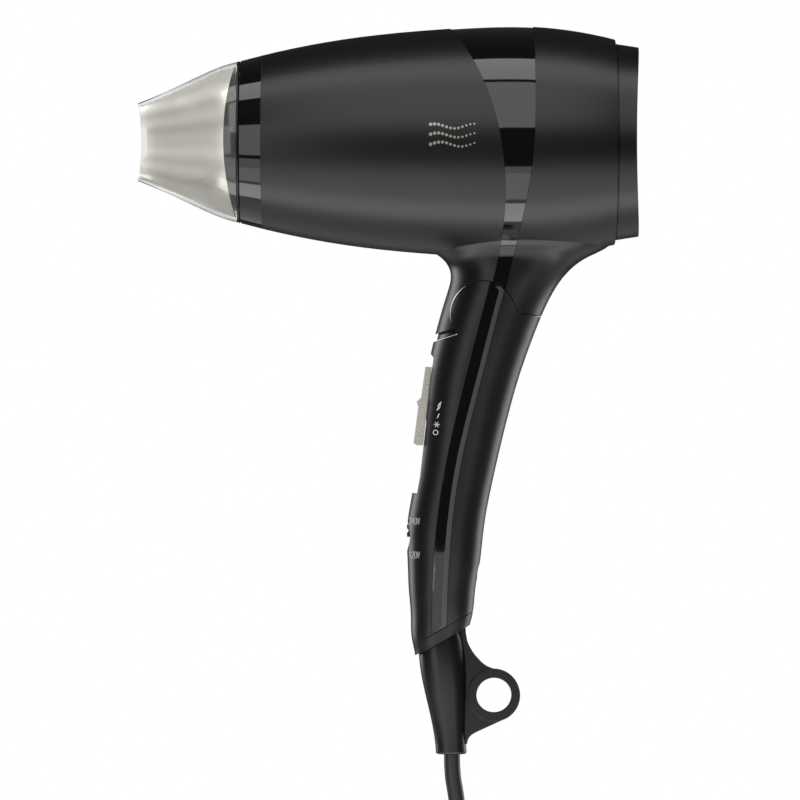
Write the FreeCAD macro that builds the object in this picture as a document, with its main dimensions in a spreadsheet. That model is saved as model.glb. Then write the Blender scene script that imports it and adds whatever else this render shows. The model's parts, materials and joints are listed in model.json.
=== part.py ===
import FreeCAD, Part
import math
import os

import Sketcher
from FreeCAD import Placement, Rotation, Vector

# Folding travel hair dryer, upright in the hand. Millimetres. The origin is the centre of the grip,
# +Z runs up the handle to the barrel, -X is where the air blows and +Y is the dryer's left side.

DIMENSIONS = (
    # name, size, what it is
    ("barrel_axis", 118.0, "height of the barrel axis above the grip centre"),
    ("ring_front", -77.0, "front face of the gloss outlet ring"),
    ("ring_rear", -69.3, "joint between the outlet ring and the barrel casing"),
    ("ring_front_radius", 29.2, "outlet ring, outside, at its front"),
    ("ring_rear_radius", 31.2, "outlet ring, outside, at its rear"),
    ("barrel_rear", 57.4, "rear edge of the barrel casing"),
    ("wall", 2.4, "wall of the casings"),
    ("trim_recess", 0.3, "how far the gloss trim lies below the casing"),
    ("trim_back", 1.4, "depth of the back of the gloss trim"),
    ("trim_groove", 1.45, "depth of the groove that the trim lies in"),
    ("rib_root", 1.8, "how deep under the surface ribs and bosses join the casing wall"),
    ("lip", 0.8, "wall left at the handle's front lip, which the neck folds behind"),
    ("chin_step", 1.1, "rebate on the neck's lower front edge"),
    ("snout_front", -84.0, "front end of the snout that carries the nozzle"),
    ("snout_radius", 24.2, "outside of the snout"),
    ("duct_front", -64.0, "front end of the air duct"),
    ("duct_rear", 52.0, "rear end of the air duct"),
    ("duct_radius", 31.0, "outside of the air duct at the fan"),
    ("duct_wall", 1.5, "wall of the air duct"),
    ("fan_radius", 28.6, "tips of the fan blades"),
    ("screw_circle", 33.4, "radius on which the three barrel screws lie"),
    ("motor_radius", 13.9, "outside of the motor can"),
    ("motor_front", 6.0, "front end of the motor can"),
    ("motor_rear", 34.0, "rear end of the motor can"),
    ("shaft_radius", 1.15, "motor shaft"),
    ("nozzle_rear", -78.2, "rear rim of the nozzle"),
    ("nozzle_tip", -114.1, "corners of the nozzle mouth"),
    ("nozzle_wall", 1.4, "wall of the clear nozzle shell"),
    ("insert_wall", 0.7, "wall of the nozzle's inner funnel"),
    ("hinge_x", 9.9, "folding hinge axis, fore and aft"),
    ("hinge_height", 56.2, "folding hinge axis, height"),
    ("cheek_radius", 11.5, "round cheeks of the handle about the hinge"),
    ("hinge_gap", 0.3, "gap between the cheeks and the neck"),
    ("cheek_face", 8.9, "inner face of the cheeks, from the middle"),
    ("pin_radius", 4.0, "hinge pins"),
    ("channel_width", 13.0, "channel that the heat slider runs in"),
    ("slider_width", 11.0, "heat slider"),
    ("slider_travel", 9.8, "travel of the heat slider"),
    ("selector_travel", 4.0, "travel of the voltage selector"),
    ("loop_x", 14.0, "hanging loop, fore and aft"),
    ("loop_height", -81.0, "hanging loop, height"),
    ("loop_hole", 6.3, "hole radius of the hanging loop"),
    ("loop_radius", 9.4, "outside radius of the hanging loop"),
    ("boot_end", -102.2, "lower end of the strain relief"),
    ("cord_diameter", 5.8, "mains cord"),
    ("cord_x", -1.1, "where the cord leaves the strain relief"),
    ("hank_top", -133.0, "top of the tied hank"),
    ("hank_length", 116.0, "height of the tied hank"),
    ("hank_width", 58.0, "width of the hank across its end loops"),
    ("hank_depth", 29.2, "thickness of the hank at its end loops"),
    ("waist_width", 33.4, "width of the hank where it is tied"),
    ("waist_depth", 23.6, "thickness of the hank where it is tied"),
    ("waist_height", 18.0, "height of the hank's narrow waist"),
    ("tie_height", 14.0, "width of the strap round the waist"),
    ("tie_wall", 1.3, "thickness of the strap"),
    ("plug_top", -277.0, "top of the plug's sleeve"),
    ("plug_x", 5.6, "plug, fore and aft"),
    ("plug_pin_radius", 2.4, "plug pins"),
    ("plug_pin_length", 19.0, "plug pins"),
    ("plug_pin_spacing", 19.0, "plug pins, centre to centre"),
)

# The stem is the one flowing form of neck and handle: height, front edge, rear edge, half width.
STEM = (
    (86.0, -15.0, 56.0, 24.5),
    (83.6, -14.0, 56.0, 23.0),
    (80.0, -11.0, 54.5, 19.6),
    (77.0, -5.8, 48.6, 18.3),
    (73.6, -2.6, 43.2, 17.9),
    (68.4, -1.6, 38.2, 17.8),
    (61.2, -3.6, 33.8, 17.4),
    (46.8, -7.6, 27.7, 16.6),
    (32.4, -10.4, 22.7, 15.6),
    (18.0, -11.9, 18.7, 14.6),
    (0.0, -13.9, 14.4, 13.6),
    (-18.0, -17.0, 10.8, 13.2),
    (-30.0, -17.2, 9.4, 12.6),
    (-38.0, -16.9, 8.1, 12.0),
    (-46.0, -16.4, 7.0, 11.3),
    (-54.0, -15.9, 5.8, 10.4),
    (-62.0, -15.3, 4.4, 9.5),
    (-70.0, -14.7, 2.8, 8.6),
)
# The barrel casing is turned: distance along the axis, radius.
BARREL = ((-69.3, 31.2), (-37.8, 37.3), (0.0, 40.9), (27.0, 41.5), (48.6, 38.9), (57.4, 36.9))
# The nozzle: distance along the barrel, half height, half width.
NOZZLE = (
    (-78.2, 28.9, 28.8),
    (-84.6, 27.0, 26.9),
    (-91.8, 23.9, 21.6),
    (-99.0, 20.5, 14.6),
    (-106.2, 17.2, 9.0),
    (-114.1, 14.0, 6.0),
)
# The strain relief: height, front edge, rear edge, half width.
BOOT = (
    (-57.0, -12.4, 1.6, 6.4),
    (-69.0, -12.8, 3.9, 7.4),
    (-84.0, -9.9, 4.0, 6.4),
    (-102.2, -6.9, 4.3, 5.2),
)
OVAL_COLUMNS = ("height", "front", "back", "half_width")
REACH = 120.0  # further than the casings reach, for cutting tools

doc = FreeCAD.newDocument("travel_hair_dryer")
dims = doc.addObject("Spreadsheet::Sheet", "dims")
nodes = {}


def fill_sheet():
    """One row for each dimension: what it is, its value and its name."""
    rows = list(DIMENSIONS)
    for title, table, columns in (
        ("stem", STEM, OVAL_COLUMNS),
        ("barrel", BARREL, ("along", "radius")),
        ("nozzle", NOZZLE, ("along", "half_height", "half_width")),
        ("boot", BOOT, OVAL_COLUMNS),
    ):
        for index, values in enumerate(table):
            for column, value in zip(columns, values):
                rows.append((f"{title}_{index}_{column}", value, f"{title} section {index}, {column}"))
    for row, (name, value, meaning) in enumerate(rows, start=1):
        dims.set(f"A{row}", meaning)
        dims.set(f"B{row}", str(value))
        dims.setAlias(f"B{row}", name)
    doc.recompute()


def size(name):
    return float(dims.get(name))


def driven(item, rules):
    """Bind properties of a document object to expressions on the sheet."""
    for path, rule in rules.items():
        item.setExpression(path, str(rule))
    return item


# ---------------------------------------------------------------- building blocks
TURNS = {"X": Rotation(Vector(0, 1, 0), 90), "Y": Rotation(Vector(1, 0, 0), -90), "Z": Rotation()}
AXIS = "dims.barrel_axis"


def rod(name, axis, centre, radius, start, end):
    """A cylinder along axis; centre gives the other two coordinates in X, Y, Z order."""
    item = doc.addObject("Part::Cylinder", name)
    item.Placement = Placement(Vector(), TURNS[axis])
    spot = dict(zip([a for a in "XYZ" if a != axis], centre))
    spot[axis] = start
    rules = {f"Placement.Base.{a.lower()}": value for a, value in spot.items()}
    return driven(item, {"Radius": radius, "Height": f"({end}) - ({start})", **rules})


def block(name, x, y, z):
    """A box between pairs of low and high coordinates."""
    item = doc.addObject("Part::Box", name)
    rules = {}
    for side, letter, (low, high) in zip(("Length", "Width", "Height"), "xyz", (x, y, z)):
        rules[side] = f"({high}) - ({low})"
        rules[f"Placement.Base.{letter}"] = low
    return driven(item, rules)


def spoke(name, x, thickness, reach, angle):
    """A radial plate on the barrel axis; reach is its inner and outer radius, angle 0 points up."""
    item = doc.addObject("Part::Box", name)
    driven(item, {"Length": x[1] - x[0], "Width": thickness, "Height": reach[1] - reach[0]})
    turn = Rotation(Vector(1, 0, 0), angle)
    corner = turn.multVec(Vector(x[0], -thickness / 2, reach[0]))
    item.Placement = Placement(corner + Vector(0, 0, size("barrel_axis")), turn)
    return item


def ring(name, centre, across, thickness):
    """A torus about an axis parallel to X."""
    item = doc.addObject("Part::Torus", name)
    item.Placement = Placement(Vector(), TURNS["X"])
    rules = {f"Placement.Base.{a}": value for a, value in zip("xyz", centre)}
    return driven(item, {"Radius1": across, "Radius2": thickness, **rules})


def feature(name, shape):
    item = doc.addObject("Part::Feature", name)
    item.Shape = shape
    return item


def fuse(name, *items):
    item = doc.addObject("Part::MultiFuse", name)
    item.Shapes = list(items)
    return item


def cut(name, base, *tools):
    item = doc.addObject("Part::Cut", name)
    item.Base = base
    item.Tool = tools[0] if len(tools) == 1 else fuse(name + "_tools", *tools)
    return item


def common(name, first, second):
    item = doc.addObject("Part::Common", name)
    item.Base = first
    item.Tool = second
    return item


def group(name, *items):
    """Separate solids of one node."""
    item = doc.addObject("Part::Compound", name)
    item.Links = list(items)
    return item


def tube(name, axis, centre, outer, inner, start, end):
    hole = rod(name + "_hole", axis, centre, inner, f"({start}) - 1", f"({end}) + 1")
    return cut(name, rod(name + "_outside", axis, centre, outer, start, end), hole)


def outline(body, name, corners):
    """A closed polygon on the body's XZ plane, each corner placed from the sheet."""
    sketch = body.newObject("Sketcher::SketchObject", name)
    plane = next(item for item in body.Origin.OriginFeatures if item.Role == "XZ_Plane")
    sketch.AttachmentSupport = [(plane, "")]
    sketch.MapMode = "FlatFace"
    count = len(corners)
    step = 2 * math.pi / count
    draft = [Vector(math.cos(step * i), math.sin(step * i)) for i in range(count)]
    for index, point in enumerate(draft):
        sketch.addGeometry(Part.LineSegment(point, draft[(index + 1) % count]))
    for index in range(count):
        sketch.addConstraint(Sketcher.Constraint("Coincident", index, 2, (index + 1) % count, 1))
    for index, (across, up) in enumerate(corners):
        guess = draft[index]
        for kind, start, value in (("DistanceX", guess.x, across), ("DistanceY", guess.y, up)):
            spot = sketch.addConstraint(Sketcher.Constraint(kind, -1, 1, index, 1, start))
            sketch.setExpression(f"Constraints[{spot}]", str(value))
    return sketch


def turned(name, corners):
    """A body turned about the barrel axis from corners (along the axis, radius)."""
    body = doc.addObject("PartDesign::Body", name)
    sketch = outline(body, name + "_profile", corners)
    spin = body.newObject("PartDesign::Revolution", name + "_turn")
    spin.Profile = sketch
    spin.ReferenceAxis = (sketch, ["H_Axis"])
    spin.Angle = 360
    driven(body, {"Placement.Base.z": AXIS})
    return body


def slab(name, corners, thickness, middle=0):
    """A body padded both ways from the plane Y = middle, from corners (X, Z)."""
    body = doc.addObject("PartDesign::Body", name)
    pad = body.newObject("PartDesign::Pad", name + "_pad")
    pad.Profile = outline(body, name + "_profile", corners)
    pad.SideType = "Symmetric"
    driven(pad, {"Length": thickness})
    driven(body, {"Placement.Base.y": middle})
    return body


def axis_cross(name, x, half_thickness, half_span):
    """An upright and a level plate that cross on the barrel axis."""
    along, height = (-half_span, half_span), "dims.barrel_axis"
    upright = (f"{height} - {half_span}", f"{height} + {half_span}")
    level = (f"{height} - {half_thickness}", f"{height} + {half_thickness}")
    return [
        block(f"{name}_upright", x, (-half_thickness, half_thickness), upright),
        block(f"{name}_level", x, along, level),
    ]


def node(name, item):
    """Publish an object as a separate piece of the dryer."""
    item.Label = name
    nodes[name] = item
    return item


# ---------------------------------------------------------------- free forms
def oval(height, front, back, half_width):
    """A level oval of the stem or the strain relief."""
    centre = Vector((front + back) / 2, 0, height)
    return Part.Wire(Part.Ellipse(centre, (back - front) / 2, half_width).toShape())


def stem_form(inset):
    """The neck and handle as one loft, drawn in by inset."""
    wires = []
    for index in range(len(STEM)):
        height, front, back, half = (size(f"stem_{index}_{column}") for column in OVAL_COLUMNS)
        wires.append(oval(height, front + inset, back - inset, half - inset))
    return Part.makeLoft(wires, True, False, False, 3)


def barrel_form(inset):
    """The barrel as a turned solid, drawn in by inset and run past both ends when hollow."""
    knots = [
        Vector(size(f"barrel_{i}_along"), 0, size(f"barrel_{i}_radius") - inset) for i in range(len(BARREL))
    ]
    curve = Part.BSplineCurve()
    curve.interpolate(knots)
    spare = Vector(3 if inset else 0, 0, 0)
    first, last = knots[0] - spare, knots[-1] + spare
    corners = [last, Vector(last.x, 0, 0), Vector(first.x, 0, 0), first]
    edges = [curve.toShape()] + [Part.makeLine(a, b) for a, b in zip(corners, corners[1:])]
    if inset:
        edges += [Part.makeLine(first, knots[0]), Part.makeLine(knots[-1], last)]
    profile = Part.Face(Part.Wire(Part.__sortEdges__(edges)))
    whole = profile.revolve(Vector(), Vector(1, 0, 0), 360)
    whole.translate(Vector(0, 0, size("barrel_axis")))
    return whole


def nozzle_form(inset):
    """The nozzle as a loft from a circle to a flat mouth, drawn in by inset and run past both ends."""
    wires = []
    for index in range(len(NOZZLE)):
        along, tall, wide = (size(f"nozzle_{index}_{c}") for c in ("along", "half_height", "half_width"))
        if inset:
            along += {0: 1.0, len(NOZZLE) - 1: -1.0}.get(index, 0.0)
        flat = Part.Ellipse(Vector(), tall - inset, wide - inset).toShape()
        flat.Placement = Placement(Vector(along, 0, size("barrel_axis")), Rotation(Vector(0, 1, 0), -90))
        wires.append(Part.Wire(flat))
    return Part.makeLoft(wires, True, False, False, 3)


def zone(name, *stretches):
    """A cutting tool right across the dryer from an outline in XZ: straight runs and smooth curves."""
    edges = []
    for kind, points in stretches:
        spots = [Vector(x, -REACH, z) for x, z in points]
        if kind == "curve":
            curve = Part.BSplineCurve()
            curve.interpolate(spots)
            edges.append(curve.toShape())
        else:
            edges += [Part.makeLine(a, b) for a, b in zip(spots, spots[1:])]
    flat = Part.Face(Part.Wire(Part.__sortEdges__(edges)))
    return feature(name, flat.extrude(Vector(0, 2 * REACH, 0)))


TRIM_FRONT = ((-2.9, 160.0), (8.3, 141.5), (16.4, 114.1), (17.3, 92.0), (13.2, 67.0))
TRIM_REAR = ((28.1, 160.0), (28.2, 134.3), (27.0, 109.0), (23.3, 87.8), (18.0, 65.0))
SEAM = (
    (12.6, 165.0),
    (21.6, 114.0),
    (18.3, 77.0),
    (12.5, 56.3),
    (6.8, 32.0),
    (-0.3, 2.9),
    (-4.4, -29.2),
    (-5.9, -70.0),
)
STRIP_FRONT = ((12.8, 69.0), (9.6, 56.3), (3.4, 32.0), (-3.3, 2.9), (-7.6, -29.2), (-8.4, -58.0))
STRIP_REAR = ((18.8, 69.0), (15.4, 56.3), (9.2, 32.0), (2.2, 2.9), (-1.9, -29.2), (-3.0, -58.0))


def sloped_zone(name, left, right):
    """The area between two upright lines, each given as X, low Z and high Z."""
    corners = ((left[0], left[1]), (right[0], right[1]), (right[0], right[2]), (left[0], left[2]))
    return zone(name, ("lines", (*corners, corners[0])))


def split_line(gap):
    """What lies below the neck: the area under the split line, and the round cheeks."""
    hinge_x, hinge_height = size("hinge_x"), size("hinge_height")
    line = ((-20.0, 42.5), (0.7, 49.0), (hinge_x, hinge_height), (21.1, 59.4), (23.6, 56.4), (45.0, 53.3))
    spots = [(x, z - gap) for x, z in line]
    spots += [(45.0, -REACH), (-45.0, -REACH), (-45.0, 42.5 - gap), spots[0]]
    lower = zone("below_split", ("lines", spots)).Shape
    disc = Part.makeCylinder(
        size("cheek_radius") + size("hinge_gap") - gap,
        2 * REACH,
        Vector(hinge_x, -REACH, hinge_height),
        Vector(0, 1, 0),
    )
    return lower.fuse(disc)


# ---------------------------------------------------------------- casings
def casings():
    """Barrel shells, gloss trim, handle shells and gloss strips, cut from the same flowing form."""
    outer_stem = feature("stem_outside", stem_form(0))
    inner_stem = feature("stem_inside", stem_form(size("wall")))
    neck_free = feature("below_neck", split_line(0))
    handle_room = feature("below_gap", split_line(size("hinge_gap")))
    levels = {}
    for level in ("none", "trim_recess", "trim_back", "trim_groove", "rib_root", "wall"):
        inset = 0 if level == "none" else size(level)
        levels[level] = barrel_form(inset).fuse(stem_form(inset).cut(neck_free.Shape))
    front_side = zone(
        "front_side", ("curve", SEAM), ("lines", (SEAM[-1], (-REACH, -70.0), (-REACH, 165.0), SEAM[0]))
    )
    band = zone(
        "trim_zone",
        ("curve", TRIM_FRONT),
        ("lines", (TRIM_FRONT[-1], (12.6, 64.0), (18.0, 64.0), TRIM_REAR[-1])),
        ("curve", TRIM_REAR),
        ("lines", (TRIM_REAR[0], TRIM_FRONT[0])),
    )
    strip = zone(
        "strip_zone",
        ("curve", STRIP_FRONT),
        ("lines", (STRIP_FRONT[-1], STRIP_REAR[-1])),
        ("curve", STRIP_REAR),
        ("lines", (STRIP_REAR[0], STRIP_FRONT[0])),
    )
    barrel_casing(levels, band, front_side, outer_stem)
    handle_casing(outer_stem, inner_stem, handle_room, strip, front_side)


def on_screw_circle(angle):
    """Y and Z of a barrel screw."""
    return f"dims.screw_circle * cos({angle})", f"dims.barrel_axis + dims.screw_circle * sin({angle})"


def barrel_casing(levels, band, front_side, outer_stem):
    outside = feature("barrel_outside", levels["none"])
    hollow = feature("barrel_hollow", levels["wall"])
    groove_skin = feature("groove_skin", levels["none"].cut(levels["trim_groove"]))
    groove = common("trim_groove_cut", groove_skin, band)
    root = feature("barrel_root", levels["rib_root"])
    hinge = ("dims.hinge_x", "dims.hinge_height")
    rim_radius = "dims.cheek_radius + dims.hinge_gap"
    rims = []
    for side, (low, high) in (("right", (-25, "-dims.cheek_face")), ("left", ("dims.cheek_face", 25))):
        rim = tube(f"neck_rim_{side}", "Y", hinge, rim_radius + " + 1.4", rim_radius, low, high)
        rims.append(common(f"neck_rim_trimmed_{side}", rim, root))
    bosses, holes = [], []
    for index, angle in enumerate((90, 210, 330)):
        bosses.append(rod(f"barrel_boss_{index}", "X", on_screw_circle(angle), 2.2, -4, 50.4))
        bosses.append(spoke(f"barrel_rib_{index}", (-4, 50.4), 1.6, (size("screw_circle"), 45), angle - 90))
        holes.append(rod(f"barrel_boss_hole_{index}", "X", on_screw_circle(angle), 1.1, 2, 60))
    inner_bosses = cut("barrel_bosses", common("bosses_inside", fuse("bosses", *bosses), root), *holes)
    duct_room = rod("duct_room", "X", (0, AXIS), "dims.duct_radius + 0.1", -70, 60)
    inner_bosses = cut("bosses_clear", inner_bosses, duct_room)
    chin_zone = sloped_zone("chin_zone", (-20.0, 42.0, 45.0), (1.4, 48.7, 51.4))
    chin_skin = feature("chin_skin", outer_stem.Shape.cut(stem_form(size("chin_step"))))
    skin = fuse("barrel_skin_ribbed", cut("barrel_skin", outside, hollow), inner_bosses, *rims)
    skin = cut("barrel_skin_clear", skin, groove, common("chin_rebate", chin_skin, chin_zone))
    node("barrel_front_shell", common("barrel_front_shell", skin, front_side))
    node("barrel_rear_shell", cut("barrel_rear_shell", skin, front_side))
    trim_skin = feature("trim_skin", levels["trim_recess"].cut(levels["trim_back"]))
    node("barrel_trim_band", common("barrel_trim_band", trim_skin, band))


def handle_casing(outer_stem, inner_stem, handle_room, strip, front_side):
    lower_limit = sloped_zone("handle_end", (-30.0, -70.9, 90.0), (60.0, -20.9, 90.0))
    outside = common("handle_outside", common("handle_form", outer_stem, handle_room), lower_limit)
    skin = cut("handle_skin", outside, inner_stem)
    root = common("handle_root", feature("stem_root", stem_form(size("rib_root"))), handle_room)
    hinge = ("dims.hinge_x", "dims.hinge_height")
    cheeks, pin_holes = [], []
    for side, (low, high, end) in (
        ("right", (-25, "-dims.cheek_face", "-13")),
        ("left", ("dims.cheek_face", 25, "13")),
    ):
        boss = rod(f"cheek_boss_{side}", "Y", hinge, "dims.pin_radius + 2.6", low, high)
        cheeks.append(common(f"cheek_boss_trimmed_{side}", boss, root))
        first, last = ("-13.1", "-5") if side == "right" else ("5", "13.1")
        pin_holes.append(rod(f"pin_hole_{side}", "Y", hinge, "dims.pin_radius + 0.02", first, last))
    screw_boss = common("screw_boss", rod("screw_boss_rod", "X", (0, -36), 3.0, -17, 20), root)
    screw_hole = rod("screw_hole", "X", (0, -36), 1.3, -7, 30)
    head_hole = rod("screw_head_hole", "X", (0, -36), 2.6, 4.5, 30)
    channel_back = slab("channel_back", CHANNEL_BACK, "dims.channel_width + 2")
    backing = common("channel_backing", channel_back, root)
    solid = fuse("handle_ribbed", skin, screw_boss, backing, *cheeks)
    channel = slab("channel", CHANNEL, "dims.channel_width")
    slider_slot = slab("slider_slot", SLIDER_SLOT, 4.6)
    scoop = rod("selector_scoop", "Y", (-28.2, -23.8), 12.0, -REACH, REACH)
    selector_slot = block("selector_slot", (-20, -10), (-2.1, 2.1), (-29.0, -18.8))
    groove_skin = feature("strip_groove_skin", outer_stem.Shape.cut(stem_form(size("trim_groove"))))
    groove = common("strip_groove", groove_skin, strip)
    lip_zone = sloped_zone("lip_zone", (-20.0, 37.0, 43.6), (2.6, 44.0, 50.6))
    lip_core = common("lip_core", feature("lip_form", stem_form(size("lip"))), lip_zone)
    fold_room = rod("fold_room", "Y", hinge, 20.6, -12.0, 12.0)
    fold_front = sloped_zone("fold_front", (-30.0, 30.0, 44.0), (40.0, 30.0, 44.0))
    inner_room = common("fold_room_inside", common("fold_room_front", fold_room, fold_front), inner_stem)
    between_cheeks = ("-dims.cheek_face", "dims.cheek_face")
    yoke_room = rod("yoke_room", "Y", hinge, "dims.cheek_radius + 0.1", *between_cheeks)
    shell = cut(
        "handle_shell", solid, channel, slider_slot, scoop, selector_slot, groove, lip_core, inner_room,
        yoke_room, screw_hole, head_hole, *pin_holes,
    )
    node("handle_front_shell", common("handle_front_shell", shell, front_side))
    node("handle_rear_shell", cut("handle_rear_shell", shell, front_side))
    strip_skin = feature("strip_skin", stem_form(size("trim_recess")).cut(stem_form(size("trim_back"))))
    strips = common("strips", common("strips_in_zone", strip_skin, strip), outside)
    for side, (low, high) in (("right", (-40, 0)), ("left", (0, 40))):
        half = block(f"strip_half_{side}", (-60, 60), (low, high), (-100, 100))
        node(f"handle_strip_{side}", common(f"handle_strip_{side}", strips, half))


# Channel, its backing and slots at the front of the handle, as outlines in X, Z.
CHANNEL = ((-7.7, 40.5), (-12.4, -1.0), (-13.2, -8.6), (-30.0, -6.0), (-30.0, 43.0), (-9.4, 42.6))
CHANNEL_BACK = ((-5.2, 39.5), (-9.9, -1.0), (-10.6, -9.6), (-30.0, -9.6), (-30.0, 39.5))
SLIDER_SLOT = ((0.0, 27.4), (0.0, 8.2), (-20.0, 6.0), (-20.0, 25.2))


# ---------------------------------------------------------------- outlet end and nozzle
def outlet():
    ring_corners = (
        ("dims.ring_front", "dims.ring_front_radius"),
        ("dims.ring_rear", "dims.ring_rear_radius"),
        ("dims.ring_rear", "dims.ring_rear_radius - dims.wall - 0.1"),
        ("dims.ring_rear + 4.5", "dims.ring_rear_radius - dims.wall - 0.1"),
        ("dims.ring_rear + 4.5", 27.2),
        ("dims.ring_front + 2", 27.2),
        ("dims.ring_front + 2", "dims.snout_radius - 1.6"),
        ("dims.snout_front", "dims.snout_radius - 1.6"),
        ("dims.snout_front", "dims.snout_radius"),
        ("dims.ring_front", "dims.snout_radius"),
    )
    node("outlet_ring", turned("outlet_ring", ring_corners))
    bars = [tube("grille_rim", "X", (0, AXIS), 22.5, 21.1, -80, -78)]
    for index, radius in enumerate((7.0, 14.0)):
        bars.append(tube(f"grille_hoop_{index}", "X", (0, AXIS), radius + 0.6, radius - 0.6, -80, -78))
    bars += axis_cross("grille_bar", (-80, -78), 0.6, 21.8)
    node("outlet_grille", fuse("outlet_grille", *bars))
    clip = tube("nozzle_clip_ring", "X", (0, AXIS), 25.0, "dims.snout_radius + 0.05", -82.6, -78.4)
    node("nozzle_clip_ring", clip)

    mouth = rod("nozzle_mouth_curve", "Y", (-188.2, AXIS), 75.4, -REACH, REACH)
    shell_inside = feature("nozzle_inside", nozzle_form(size("nozzle_wall")))
    shell = cut("nozzle_shell", feature("nozzle_outside", nozzle_form(0)), shell_inside, mouth)
    node("nozzle_shell", shell)
    gap = 0.15
    insert_out = feature("insert_outside", nozzle_form(size("nozzle_wall") + gap))
    insert_in = feature("insert_inside", nozzle_form(size("nozzle_wall") + gap + size("insert_wall")))
    scoop = rod("insert_front_scoop", "Y", (-125.3, AXIS), 14.9, -REACH, REACH)
    front = block("insert_front_trim", (-130, -113.0), (-40, 40), (60, 170))
    rear = rod("insert_rear_scoop", "Y", (12.9, AXIS), 95.4, -REACH, REACH)
    node("nozzle_insert", cut("nozzle_insert", insert_out, insert_in, scoop, front, rear))


# ---------------------------------------------------------------- air duct, heater, motor, fan
def airflow():
    duct_corners = (
        ("dims.duct_front", 28.2),
        (-12, 29.6),
        (8, "dims.duct_radius"),
        ("dims.duct_rear", "dims.duct_radius"),
        ("dims.duct_rear", "dims.duct_radius - dims.duct_wall"),
        (8, "dims.duct_radius - dims.duct_wall"),
        (-12, "29.6 - dims.duct_wall"),
        ("dims.duct_front", "28.2 - dims.duct_wall"),
    )
    node("air_duct", turned("air_duct", duct_corners))
    node("mica_tube", tube("mica_tube", "X", (0, AXIS), 26.4, 25.9, -62, -14))
    node("mica_cross", fuse("mica_cross", *axis_cross("mica", (-60, -16), 0.4, 21)))
    coils = [ring(f"coil_{i}", (-56 + 6 * i, 0, AXIS), 22.6, 1.1) for i in range(7)]
    node("heating_coils", group("heating_coils", *coils))
    cutout = block("cutout_base", (-52, -44), (3, 12), ("dims.barrel_axis + 0.6", "dims.barrel_axis + 2.4"))
    leaf = block("cutout_leaf", (-58, -46), (5, 10), ("dims.barrel_axis + 2.4", "dims.barrel_axis + 2.9"))
    node("thermal_cutout", fuse("thermal_cutout", cutout, leaf))
    node("thermal_fuse", rod("thermal_fuse", "X", (-6, "dims.barrel_axis - 3.4"), 1.8, -50, -36))

    hub = tube("vane_hub", "X", (0, AXIS), "dims.motor_radius + 1.6", "dims.motor_radius + 0.05", 12, 30)
    vanes = []
    for index in range(6):
        reach = (size("motor_radius") + 1.2, size("duct_radius") - size("duct_wall") - 0.1)
        vanes.append(spoke(f"vane_{index}", (14, 28), 1.2, reach, 60 * index + 30))
    node("motor_mount", fuse("motor_mount", hub, *vanes))
    motor()
    fan()


def motor():
    can_corners = (
        ("dims.motor_front", 3.4),
        ("dims.motor_front", "dims.motor_radius"),
        ("dims.motor_rear", "dims.motor_radius"),
        ("dims.motor_rear", 3.4),
        ("dims.motor_rear - 1", 3.4),
        ("dims.motor_rear - 1", "dims.motor_radius - 1"),
        ("dims.motor_front + 1", "dims.motor_radius - 1"),
        ("dims.motor_front + 1", 3.4),
    )
    node("motor_can", turned("motor_can", can_corners))
    magnets = tube("magnet_ring", "X", (0, AXIS), "dims.motor_radius - 1.05", 9.6, 12, 29)
    split = block("magnet_split", (10, 31), (-2, 2), ("dims.barrel_axis - 20", "dims.barrel_axis + 20"))
    node("motor_magnets", cut("motor_magnets", magnets, split))
    bores = [
        tube(f"bush_{end}", "X", (0, AXIS), 3.35, "dims.shaft_radius + 0.03", start, f"({start}) + 3")
        for end, start in (("front", "dims.motor_front - 1"), ("rear", "dims.motor_rear - 2"))
    ]
    node("motor_bushes", group("motor_bushes", *bores))
    node("motor_shaft", rod("motor_shaft", "X", (0, AXIS), "dims.shaft_radius", 3, 49))
    core = tube("core", "X", (0, AXIS), 4.2, "dims.shaft_radius + 0.01", 13, 28)
    arms = axis_cross("core", (13, 28), 1.6, 8.6)
    rim = tube("core_rim", "X", (0, AXIS), 9.0, 7.4, 13, 28)
    bore = rod("core_bore", "X", (0, AXIS), "dims.shaft_radius + 0.01", 10, 30)
    node("motor_armature", cut("motor_armature", fuse("armature_core", core, rim, *arms), bore))
    lead_end = "dims.motor_front - 0.2"
    leads = [rod(f"motor_lead_{i}", "X", (y, AXIS), 0.8, -8, lead_end) for i, y in enumerate((-8, 8))]
    node("motor_leads", group("motor_leads", *leads))


def fan():
    hub_corners = (
        (36.5, 1.2),
        (36.5, 4.0),
        (38.5, 4.0),
        (38.5, 9.0),
        (37.5, 9.0),
        (37.5, 10.4),
        (46.5, 10.4),
        (48.5, 7.0),
        (49.2, 1.2),
    )
    hub = turned("fan_hub", hub_corners)
    blades = []
    for index in range(9):
        blade = block(f"blade_{index}", (0, 13), (-0.55, 0.55), (0, 21.4))
        for letter in "xyz":
            blade.setExpression(f"Placement.Base.{letter}", None)
        around = Rotation(Vector(1, 0, 0), 40 * index)
        pitch = Rotation(Vector(0, 0, 1), 38)
        turn = around * pitch
        start = turn.multVec(Vector(-6.5, -0.55, 9.6))
        blade.Placement = Placement(start + Vector(42, 0, size("barrel_axis")), turn)
        blades.append(blade)
    trim = rod("fan_trim", "X", (0, AXIS), "dims.fan_radius", 30, 55)
    bore = rod("fan_bore", "X", (0, AXIS), "dims.shaft_radius + 0.01", 30, 55)
    wheel = common("fan_wheel", fuse("fan_blades", hub, *blades), trim)
    node("fan_impeller", cut("fan_impeller", wheel, bore))


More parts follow.
